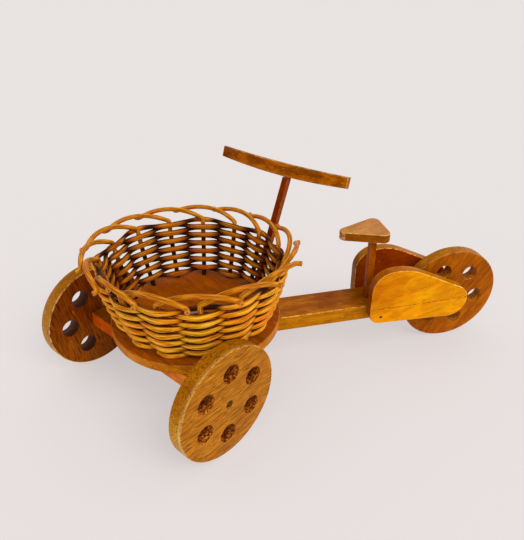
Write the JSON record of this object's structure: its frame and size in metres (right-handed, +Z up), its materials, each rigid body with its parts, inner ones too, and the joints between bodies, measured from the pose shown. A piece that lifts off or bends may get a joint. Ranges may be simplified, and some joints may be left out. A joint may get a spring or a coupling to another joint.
{
  "type": "wicker planter cart",
  "caption": "Small wooden tricycle planter with a round woven basket on its steered front platform, drilled disc wheels, a handlebar and a saddle.",
  "frame": {"origin": "middle of the bounding box, on the ground that the wheels stand on", "axes": "X along the rail toward the rear wheel, Y to the right side, Z up; the front stands turned to the left"},
  "size_m": [0.4406, 0.2494, 0.1809],
  "materials": {
    "amber_wood": "satin amber varnish over stained softwood",
    "brown_wood": "satin brown varnish, worn at the edges",
    "tan_wood": "dull tan stain with dust",
    "cane": "satin varnished cane",
    "dark_steel": "dull dark steel",
    "zinc": "dull zinc plate"
  },
  "bodies": {
    "chassis": {"rail": "amber_wood", "cheek_left": "amber_wood", "cheek_right": "amber_wood", "cheek_nail_left": "dark_steel", "cheek_nail_right": "dark_steel", "rear_axle": "dark_steel", "rear_spacer_left": "brown_wood", "rear_spacer_right": "brown_wood", "seat_post": "amber_wood", "seat": "tan_wood", "pivot_bolt": "zinc", "pivot_washer": "zinc", "pivot_nut": "zinc"},
    "front": {"platform": "amber_wood", "front_axle_beam": "amber_wood", "beam_screw_left": "zinc", "beam_screw_right": "zinc", "axle_pin_left": "dark_steel", "axle_pin_right": "dark_steel", "wheel_washer_left": "zinc", "wheel_washer_right": "zinc", "basket_wall": "cane", "stake_01": "cane", "stake_02": "cane", "stake_03": "cane", "stake_04": "cane", "stake_05": "cane", "stake_06": "cane", "stake_07": "cane", "stake_08": "cane", "stake_09": "cane", "stake_10": "cane", "stake_11": "cane", "stake_12": "cane", "stake_13": "cane", "stake_14": "cane", "stake_15": "cane", "handlebar_stem": "amber_wood", "handlebar": "amber_wood", "stem_nail": "dark_steel", "bar_nail": "dark_steel"},
    "front_left_wheel": {"wheel_front_left": "brown_wood"},
    "front_right_wheel": {"wheel_front_right": "brown_wood"},
    "rear_wheel": {"wheel_rear": "brown_wood"}
  },
  "joints": [
    {"name": "steering", "type": "hinge", "parent": "chassis", "child": "front", "pos_m": [-0.08137, 0.01088, 0.05], "axis": [0, 0, 1], "range_deg": [-80.2, 9.8]},
    {"name": "front_left_spin", "type": "hinge", "parent": "front", "child": "front_left_wheel", "pos_m": [-0.07378, -0.09079, 0.05], "axis": [-0.5764, 0.8171, 0], "continuous": true},
    {"name": "front_right_spin", "type": "hinge", "parent": "front", "child": "front_right_wheel", "pos_m": [-0.17598, 0.05409, 0.05], "axis": [-0.5764, 0.8171, 0], "continuous": true},
    {"name": "rear_spin", "type": "hinge", "parent": "chassis", "child": "rear_wheel", "pos_m": [0.17133, 0.01088, 0.049], "axis": [0, 1, 0], "continuous": true}
  ]
}
